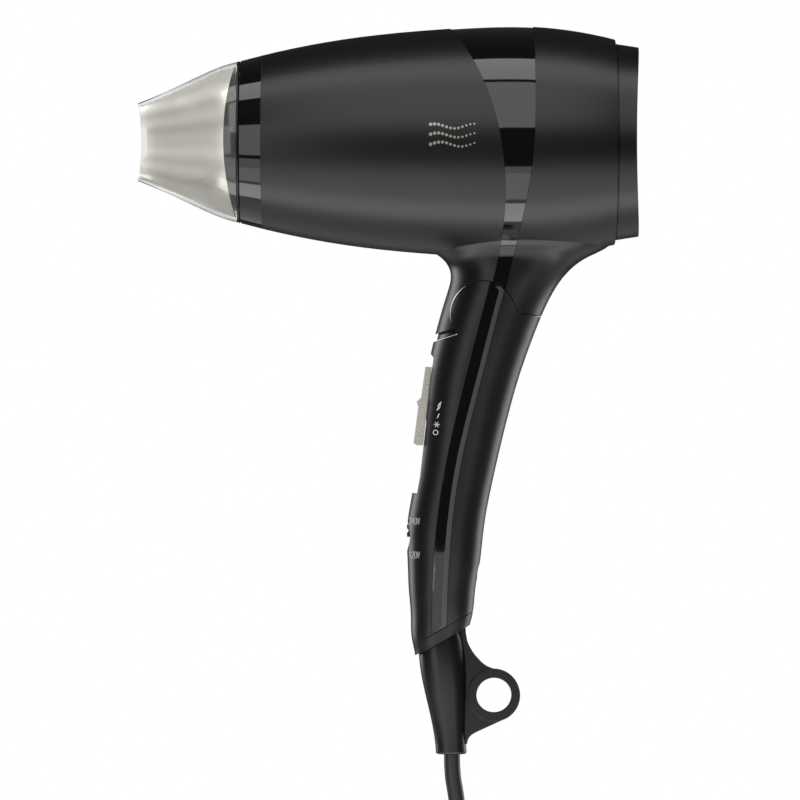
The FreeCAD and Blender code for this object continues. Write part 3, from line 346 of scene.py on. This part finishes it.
def make_cord():
    route = [(x, 0.0, z) for x, z in CORD_DROP]
    route += hank_route()
    route += [(x, 0.0, z) for x, z in TAIL_DROP]
    data = bpy.data.curves.new("mains_cord", "CURVE")
    data.dimensions = "3D"
    line = data.splines.new("NURBS")
    line.points.add(len(route) - 1)
    for spot, corner in zip(line.points, route):
        spot.co = (*(Vector(corner) * MM), 1.0)
    line.order_u = 3
    line.use_endpoint_u = True
    line.resolution_u = 8
    data.bevel_depth = 0.5 * CORD_DIAMETER * MM
    data.bevel_resolution = 6
    data.use_fill_caps = True
    data.materials.append(FINISHES["cord_black"])
    item = bpy.data.objects.new("mains_cord", data)
    bpy.context.collection.objects.link(item)
    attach(item, "handle")
    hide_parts("cord_drop", "cord_hank", "cord_tail")
    return item


# ---------------------------------------------------------------- tubes and walls
def tube_mesh(line, radius, sides, corners, faces):
    """Add a round tube along a line to the corner and face lists."""
    start = len(corners)
    across = (line[1] - line[0]).orthogonal().normalized()
    for number, centre in enumerate(line):
        ahead = line[min(number + 1, len(line) - 1)] - line[max(number - 1, 0)]
        ahead.normalize()
        across = (across - ahead * across.dot(ahead)).normalized()
        upright = ahead.cross(across)
        for side in range(sides):
            angle = 2 * math.pi * side / sides
            corners.append(centre + radius * (math.cos(angle) * across + math.sin(angle) * upright))
    for number in range(len(line) - 1):
        for side in range(sides):
            a, b = start + number * sides + side, start + number * sides + (side + 1) % sides
            faces.append((a, b, b + sides, a + sides))
    faces.append(tuple(start + side for side in reversed(range(sides))))
    faces.append(tuple(len(corners) - sides + side for side in range(sides)))


def ring_wall(rings, closed=False):
    """Corners and faces of a skin over rings of equal length, capped at both ends unless closed."""
    count = len(rings[0])
    corners = [corner for ring in rings for corner in ring]
    faces = []
    for number in range(len(rings) if closed else len(rings) - 1):
        following = (number + 1) % len(rings)
        here, there = number * count, following * count
        for place in range(count):
            beside = (place + 1) % count
            faces.append((here + place, here + beside, there + beside, there + place))
    if not closed:
        faces.append(tuple(reversed(range(count))))
        faces.append(tuple((len(rings) - 1) * count + place for place in range(count)))
    return corners, faces


def barrel_circle(x, radius, steps):
    """A closed line of points round the barrel's axis."""
    line = []
    for step in range(steps + 1):
        angle = 2 * math.pi * step / steps
        line.append(Vector((x, radius * math.cos(angle), BARREL_AXIS + radius * math.sin(angle))))
    return line


def rounded_oblong(half_x, half_y, squareness, count=64):
    """Points of a rounded oblong: squareness 2 is an ellipse, more is squarer."""
    points = []
    for number in range(count):
        angle = 2 * math.pi * number / count
        c, s = math.cos(angle), math.sin(angle)
        x = math.copysign(abs(c) ** (2 / squareness), c) * half_x
        y = math.copysign(abs(s) ** (2 / squareness), s) * half_y
        points.append((x, y))
    return points


# ---------------------------------------------------------------- plug and tie
PLUG_TOP = -277.0
PLUG_X = 5.6
# Depth below the plug's top, half width, half thickness, squareness.
PLUG_SECTIONS = (
    (0.0, 3.3, 3.3, 2.0),
    (0.5, 3.9, 3.9, 2.0),
    (6.0, 4.4, 4.4, 2.0),
    (11.0, 5.2, 4.8, 2.1),
    (14.5, 8.0, 5.3, 2.4),
    (17.5, 11.6, 5.8, 2.8),
    (20.0, 13.0, 6.05, 3.2),
    (32.4, 13.5, 6.1, 3.6),
    (33.6, 13.1, 5.7, 3.6),
    (34.0, 12.4, 5.0, 3.6),
)
PLUG_STEP = 0.25
GRIP_GROOVES = 5
GRIP_TOP, GRIP_LENGTH = 20.5, 10.0
GROOVE_DEPTH_X, GROOVE_DEPTH_Y = 0.25, 0.55


def between(sections, depth):
    """The section at a depth, in proportion between its neighbours."""
    for upper, lower in zip(sections, sections[1:]):
        if depth <= lower[0]:
            share = (depth - upper[0]) / (lower[0] - upper[0])
            return [a + share * (b - a) for a, b in zip(upper, lower)]
    return sections[-1]


def make_plug():
    """A moulded two-pin plug with finger grooves across its waist."""
    steps = int(PLUG_SECTIONS[-1][0] / PLUG_STEP)
    depths = {PLUG_STEP * step for step in range(steps + 1)} | {section[0] for section in PLUG_SECTIONS}
    rings = []
    for depth in sorted(depths):
        _, half_x, half_y, squareness = between(PLUG_SECTIONS, depth)
        along = (depth - GRIP_TOP) / GRIP_LENGTH
        if 0.0 < along < 1.0:
            groove = math.sin(GRIP_GROOVES * math.pi * along) ** 2
            half_y -= GROOVE_DEPTH_Y * groove
            half_x -= GROOVE_DEPTH_X * groove
        outline = rounded_oblong(half_x, half_y, squareness)
        rings.append([(PLUG_X + x, y, PLUG_TOP - depth) for x, y in outline])
    return piece("moulded_plug", *ring_wall(rings), "cord_black", "handle", ["plug_body"])


STRAP_HALF_X = 16.75
STRAP_HALF_Y = 11.95
STRAP_HALF_HEIGHT = 6.0
STRAP_WALL = 1.1
STRAP_SQUARENESS = 4.5
STRAP_SWELL = 0.25  # how much further out its sides stand at mid height
# Once round the strap's section: how far out through the wall, and the level between its two edges.
STRAP_PROFILE = (
    (0.0, -0.86), (0.5, -1.0), (1.0, -0.86), (1.0, 0.0), (1.0, 0.86), (0.5, 1.0), (0.0, 0.86), (0.0, 0.0)
)
LAP_NARROWER = 0.5
LAP_START_X, LAP_ROUND_X, LAP_MIDDLE_X = 13.0, -4.0, 3.0
LAP_LAYERS = ((-0.2, 0.0), (0.9, 0.0), (1.15, 0.25))  # height off the strap, and how far the edge draws in


def make_strap():
    """A woven strap round the hank's waist, its free end lapped over the front."""
    rings = []
    for outward, level in STRAP_PROFILE:
        swell = STRAP_SWELL * (1 - level * level)
        half_x = STRAP_HALF_X + outward * STRAP_WALL + swell
        half_y = STRAP_HALF_Y + outward * STRAP_WALL
        outline = rounded_oblong(half_x, half_y, STRAP_SQUARENESS, 96)
        height = HANK_MIDDLE + level * STRAP_HALF_HEIGHT
        rings.append([(x, y, height) for x, y in outline])
    corners, faces = ring_wall(rings, closed=True)
    lap_face = -(STRAP_HALF_Y + STRAP_WALL)
    half = STRAP_HALF_HEIGHT - LAP_NARROWER
    outline = [(LAP_START_X, -half), (LAP_ROUND_X, -half)]
    for degrees in range(-80, 90, 10):
        angle = math.radians(degrees)
        outline.append((LAP_ROUND_X - half * math.cos(angle), half * math.sin(angle)))
    outline += [(LAP_ROUND_X, half), (LAP_START_X, half)]
    rings = []
    for depth, shrink in LAP_LAYERS:
        ring = []
        for x, z in outline:
            drawn_x = LAP_MIDDLE_X + (x - LAP_MIDDLE_X) * (1 - shrink / 10)
            ring.append((drawn_x, lap_face - depth, HANK_MIDDLE + z * (1 - shrink / half)))
        rings.append(ring)
    lap_corners, lap_faces = ring_wall(rings)
    faces += [tuple(corner + len(corners) for corner in face) for face in lap_faces]
    return piece("lapped_strap", corners + lap_corners, faces, "tie_fabric", "handle", ["cord_tie"])


# ---------------------------------------------------------------- barrel fittings
SEAL_X = -77.65
SEAL_RADIUS = 28.7
SEAL_THICKNESS = 0.42  # as a radius, like the other wires and rims below

COIL_COUNT = 7
COIL_FIRST_X = -56.0
COIL_SPACING = 6.0
COIL_RADIUS = 22.6
SPRING_RADIUS = 0.72
SPRING_TURNS = 78
SPRING_STEPS = 9  # points round one turn of the spring
COIL_WIRE = 0.26

FILTER_X = 59.95
FILTER_RADIUS = 31.7
FILTER_PITCH = 1.6
FILTER_WAVE = 0.14  # how far a wire swings over and under the others
FILTER_WIRE = 0.16
FILTER_RIM_RADIUS = 31.6
FILTER_RIM_WIRE = 0.34


def make_heating_coils():
    """Turns round the mica cross, each turn itself a fine coiled spring."""
    corners, faces = [], []
    points = SPRING_TURNS * SPRING_STEPS
    for index in range(COIL_COUNT):
        line = []
        for step in range(points + 1):
            angle = 2 * math.pi * step / points
            swing = 2 * math.pi * step / SPRING_STEPS
            radius = COIL_RADIUS + SPRING_RADIUS * math.cos(swing)
            x = COIL_FIRST_X + COIL_SPACING * index + SPRING_RADIUS * math.sin(swing)
            line.append(Vector((x, radius * math.cos(angle), BARREL_AXIS + radius * math.sin(angle))))
        tube_mesh(line, COIL_WIRE, 4, corners, faces)
    piece("wound_coils", corners, faces, "coil_wire", "barrel", ["heating_coils"])


def make_outlet_seal():
    """A soft black seal between the outlet and the nozzle."""
    corners, faces = [], []
    tube_mesh(barrel_circle(SEAL_X, SEAL_RADIUS, 128), SEAL_THICKNESS, 8, corners, faces)
    piece("outlet_seal", corners, faces, "rubber_black", "barrel")


def make_filter_mesh():
    """A woven disc of steel wire; each wire goes over and under those that it crosses."""
    corners, faces = [], []
    count = int(FILTER_RADIUS / FILTER_PITCH)
    for number in range(-count, count + 1):
        offset = number * FILTER_PITCH
        half = math.sqrt(FILTER_RADIUS**2 - offset**2)
        steps = max(4, int(4 * half / FILTER_PITCH))
        for upright in (False, True):
            line = []
            for step in range(steps + 1):
                along = -half + 2 * half * step / steps
                phase = along / FILTER_PITCH + number + (1 if upright else 0)
                lift = FILTER_WAVE * math.cos(math.pi * phase)
                y, z = (offset, along) if upright else (along, offset)
                line.append(Vector((FILTER_X + lift, y, BARREL_AXIS + z)))
            tube_mesh(line, FILTER_WIRE, 4, corners, faces)
    tube_mesh(barrel_circle(FILTER_X, FILTER_RIM_RADIUS, 96), FILTER_RIM_WIRE, 6, corners, faces)
    piece("woven_filter", corners, faces, "steel", "rear_cover", ["filter_mesh"])


# ---------------------------------------------------------------- printed signs
def surface_of(node):
    """The CAD node's faces in world space, to print on."""
    item = NODES[node]
    place = item.matrix_world
    corners = [place @ vertex.co for vertex in item.data.vertices]
    return BVHTree.FromPolygons(corners, [tuple(face.vertices) for face in item.data.polygons])


def on_side(surface, side, x, z, lift):
    """The point of a surface that shows at X, Z from the given side, lifted off it; all in mm."""
    start = Vector((x, side * 100.0, z)) * MM
    hit, normal, _, _ = surface.ray_cast(start, Vector((0, -side, 0)))
    if hit is None:
        return None
    if normal.y * side < 0:
        normal = -normal
    return hit / MM + normal * lift


def printed(name, strokes, node, body, finish_name, side=-1, lift=0.04, tile=0.35):
    """Strokes, each a line of X, Z points and a width in mm, printed on the node's side."""
    surface = surface_of(node)
    corners, faces = [], []
    for points, width in strokes:
        line = []
        for (x0, z0), (x1, z1) in zip(points, points[1:]):
            cuts = max(1, int(math.hypot(x1 - x0, z1 - z0) / tile))
            line += [(x0 + (x1 - x0) * cut / cuts, z0 + (z1 - z0) * cut / cuts) for cut in range(cuts)]
        line.append(points[-1])
        round_trip = math.dist(points[0], points[-1]) < ALMOST_ZERO
        before = None
        for number, (x, z) in enumerate(line):
            back = line[number - 1] if number else (line[-2] if round_trip else line[0])
            ahead = line[number + 1] if number + 1 < len(line) else (line[1] if round_trip else line[-1])
            run = Vector((ahead[0] - back[0], ahead[1] - back[1])).normalized()
            span = 0.5 * width
            row = [
                on_side(surface, side, x - run.y * span * share, z + run.x * span * share, lift)
                for share in (-1.0, 0.0, 1.0)
            ]
            if any(corner is None for corner in row):
                before = None
                continue
            start = len(corners)
            corners += row
            if before is not None:
                faces += [(before + k, before + k + 1, start + k + 1, start + k) for k in (0, 1)]
            before = start
    return piece(name, corners, faces, finish_name, body)


def circle(x, z, radius, count=20):
    return [
        (x + radius * math.cos(2 * math.pi * k / count), z + radius * math.sin(2 * math.pi * k / count))
        for k in range(count + 1)
    ]


# Strokes of each sign in a cell about 0.6 wide and 1 high.
GLYPHS = {
    "0": (
        (
            (0.15, 0), (0.45, 0), (0.6, 0.22), (0.6, 0.78), (0.45, 1),
            (0.15, 1), (0, 0.78), (0, 0.22), (0.15, 0),
        ),
    ),
    "1": (((0.1, 0.78), (0.38, 1), (0.38, 0)),),
    "2": (((0.02, 0.76), (0.16, 1), (0.45, 1), (0.6, 0.78), (0.56, 0.56), (0.02, 0), (0.62, 0)),),
    "4": (((0.46, 0), (0.46, 1), (0, 0.3), (0.64, 0.3)),),
    "V": (((0, 1), (0.3, 0), (0.6, 1)),),
}


CELL_PITCH = 0.82  # from one sign's cell to the next, in the units of GLYPHS
NUMERAL_LEFT = -16.6
NUMERAL_HEIGHT = 2.3
NUMERAL_PITCH = 1.02
NUMERAL_STROKE = 0.3


def numerals(text, foot):
    """The strokes of a short text in a row, its foot at the given height."""
    scale = NUMERAL_PITCH / CELL_PITCH
    strokes = []
    for place, sign in enumerate(text):
        left = NUMERAL_LEFT + place * NUMERAL_PITCH
        for line in GLYPHS[sign]:
            points = [(left + x * scale, foot + z * NUMERAL_HEIGHT) for x, z in line]
            strokes.append((points, NUMERAL_STROKE))
    return strokes


def make_signs():
    """Heat signs beside the slider and the voltage numerals beside the selector."""
    heat = [
        ([(-5.6, 24.1), (-6.2, 23.0), (-6.0, 22.6), (-6.6, 21.4)], 0.32),
        ([(-4.95, 24.6), (-5.55, 23.5), (-5.35, 23.1), (-5.95, 21.9)], 0.32),
        ([(-5.75, 20.3), (-6.15, 19.6), (-6.05, 19.4), (-6.5, 18.7)], 0.32),
        (circle(-7.04, 13.6, 0.84), 0.28),
    ]
    star_x, star_z, star_arm = -6.65, 16.4, 1.1
    for degrees in (0, 60, 120):
        run = star_arm * math.cos(math.radians(degrees))
        rise = star_arm * math.sin(math.radians(degrees))
        heat.append(([(star_x - run, star_z - rise), (star_x + run, star_z + rise)], 0.24))
    printed("heat_signs", heat, "handle_front_shell", "handle", "print_white")
    voltages = numerals("240V", foot=-19.4) + numerals("120V", foot=-31.5)
    printed("voltage_signs", voltages, "handle_front_shell", "handle", "print_grey")


MARK_ROWS, MARK_DOTS = 3, 12
MARK_X, MARK_Z = -9.0, 115.4  # the first dot of the lowest row
MARK_DOT_SPACING, MARK_ROW_SPACING = 1.4, 3.2
MARK_SWING = 0.8
MARK_FIRST_DOT, MARK_DOT_LOSS = 0.62, 0.025  # diameter, and how much smaller each next dot is


def make_airflow_mark():
    """Three wavy rows of dots on the barrel's side, a plain mark for moving air."""
    strokes = []
    for row in range(MARK_ROWS):
        for number in range(MARK_DOTS):
            x = MARK_X + MARK_DOT_SPACING * number
            wave = MARK_SWING * math.sin(0.62 * number + 0.5 * row)
            z = MARK_Z + MARK_ROW_SPACING * row + wave
            size = MARK_FIRST_DOT - MARK_DOT_LOSS * number
            strokes.append((circle(x, z, size / 2, 12), size))
    printed("airflow_mark", strokes, "barrel_front_shell", "barrel", "print_champagne", tile=0.2)


# ---------------------------------------------------------------- painted reflection along the strip
STRIP_REAR = ((18.8, 69.0), (15.4, 56.3), (9.2, 32.0), (2.2, 2.9), (-1.9, -29.2), (-3.0, -58.0))
STRIP_REFLECTION_WIDTH = 1.75
STRIP_REFLECTION_LIFT = 0.05
STRIP_REFLECTION_INSET = 0.1
STRIP_SEARCH_STEP = 0.05


def make_strip_reflection_lines():
    """A lighter satin line just inside the rear edge of each gloss strip: a painted reflection of a light
    panel where the strip curves round the handle.
    """
    across = (STRIP_REFLECTION_INSET, 0.9, STRIP_REFLECTION_INSET + STRIP_REFLECTION_WIDTH)
    for node, side in (("handle_strip_right", -1), ("handle_strip_left", 1)):
        surface = surface_of(node)
        corners, faces = [], []
        for (x0, z0), (x1, z1) in zip(STRIP_REAR, STRIP_REAR[1:]):
            cuts = int((z0 - z1) / 1.5)
            for cut in range(cuts):
                share = cut / cuts
                middle, z = x0 + share * (x1 - x0), z0 + share * (z1 - z0)
                x = middle + 2.5
                while x > middle - 3.0 and not on_side(surface, side, x, z, STRIP_REFLECTION_LIFT):
                    x -= STRIP_SEARCH_STEP
                row = [on_side(surface, side, x - inward, z, STRIP_REFLECTION_LIFT) for inward in across]
                if any(corner is None for corner in row):
                    continue
                corners += row
                if len(corners) > 3:
                    start = len(corners) - 6
                    faces += [(start + k, start + k + 1, start + k + 4, start + k + 3) for k in (0, 1)]
        piece(f"{node}_line", corners, faces, "strip_painted_reflection", "handle")


# ---------------------------------------------------------------- light and floor
def area_light(name, place, aim, size, power):
    data = bpy.data.lights.new(name, "AREA")
    data.shape = "RECTANGLE"
    data.size, data.size_y = size
    data.energy = power
    item = bpy.data.objects.new(name, data)
    item.location = place
    item.rotation_euler = (Vector(aim) - Vector(place)).to_track_quat("-Z", "Y").to_euler()
    item.visible_camera = False
    bpy.context.collection.objects.link(item)
    return item


FLOOR_RADIUS = 0.7
FLOOR_DROP = 0.003  # how far below the lowest point of the part it lies
# Name, distance, azimuth and elevation of the middle, width, height, radiance.
# Azimuth 0 is the camera's side and 90 the rear of the dryer.
LIGHT_PANELS = (
    ("front_upper_panel", 1.3, 0.0, 37.0, 1.4, 1.10, 1.5),
    ("overhead_panel", 1.1, 0.0, 76.0, 1.5, 0.50, 2.2),
    ("front_lower_panel", 0.45, 0.0, -38.0, 0.9, 0.30, 1.0),
    ("underneath_panel", 0.36, 0.0, -72.0, 0.8, 0.16, 2.4),
    ("right_rear_panel", 1.2, 126.0, 5.0, 0.75, 1.2, 2.2),
    ("left_front_panel", 1.2, -36.0, 3.0, 0.42, 0.8, 1.3),
    ("left_rear_panel", 1.2, -125.0, 10.0, 0.6, 1.1, 3.0),
)


def make_stage():
    floor = bpy.data.meshes.new("floor")
    shape = bmesh.new()
    bmesh.ops.create_circle(shape, cap_ends=True, segments=96, radius=FLOOR_RADIUS)
    shape.to_mesh(floor)
    shape.free()
    item = bpy.data.objects.new("floor", floor)
    item.location = (0.0, 0.0, cad_box[0][2] - FLOOR_DROP)
    white = finish("floor", (0.80, 0.80, 0.79), (0.84, 0.84, 0.83), (0.6, 0.7), grain=1.0)
    floor.materials.append(white)
    bpy.context.collection.objects.link(item)
    world = bpy.data.worlds.new("studio")
    world.use_nodes = True
    tree = world.node_tree
    tree.nodes.clear()
    seen = add(tree, "Background", Color=(1, 1, 1, 1), Strength=1.0)
    dim = add(tree, "Background", Color=(1, 1, 1, 1), Strength=0.04)
    path = add(tree, "LightPath")
    direct = add(tree, "Math", {"operation": "MAXIMUM"})
    tree.links.new(path.outputs["Is Camera Ray"], direct.inputs[0])
    tree.links.new(path.outputs["Is Transmission Ray"], direct.inputs[1])
    mix = tree.nodes.new("ShaderNodeMixShader")
    tree.links.new(direct.outputs[0], mix.inputs[0])
    tree.links.new(dim.outputs[0], mix.inputs[1])
    tree.links.new(seen.outputs[0], mix.inputs[2])
    output = tree.nodes.new("ShaderNodeOutputWorld")
    tree.links.new(mix.outputs[0], output.inputs["Surface"])
    bpy.context.scene.world = world
    return item


def make_lights(floor):
    """Panels round the object; the two low ones stand over the floor, so they leave it unlit."""
    aim = Vector((-0.01, 0.0, 0.06))
    spared = bpy.data.collections.new("spared_by_low_panels")
    spared.objects.link(floor)
    spared.collection_objects[0].light_linking.link_state = "EXCLUDE"
    for name, distance, azimuth, elevation, width, height, radiance in LIGHT_PANELS:
        a, e = math.radians(azimuth), math.radians(elevation)
        way = Vector((math.sin(a) * math.cos(e), -math.cos(a) * math.cos(e), math.sin(e)))
        power = radiance * math.pi * width * height
        panel = area_light(name, aim + way * distance, aim, (width, height), power)
        if distance < FLOOR_RADIUS:
            panel.light_linking.receiver_collection = spared


make_camera()
finish_cad_nodes()
cord = make_cord()
plug = make_plug()
strap = make_strap()
make_heating_coils()
make_outlet_seal()
make_filter_mesh()
make_signs()
make_airflow_mark()
make_strip_reflection_lines()
make_lights(make_stage())
bpy.context.scene.view_settings.view_transform = "Standard"
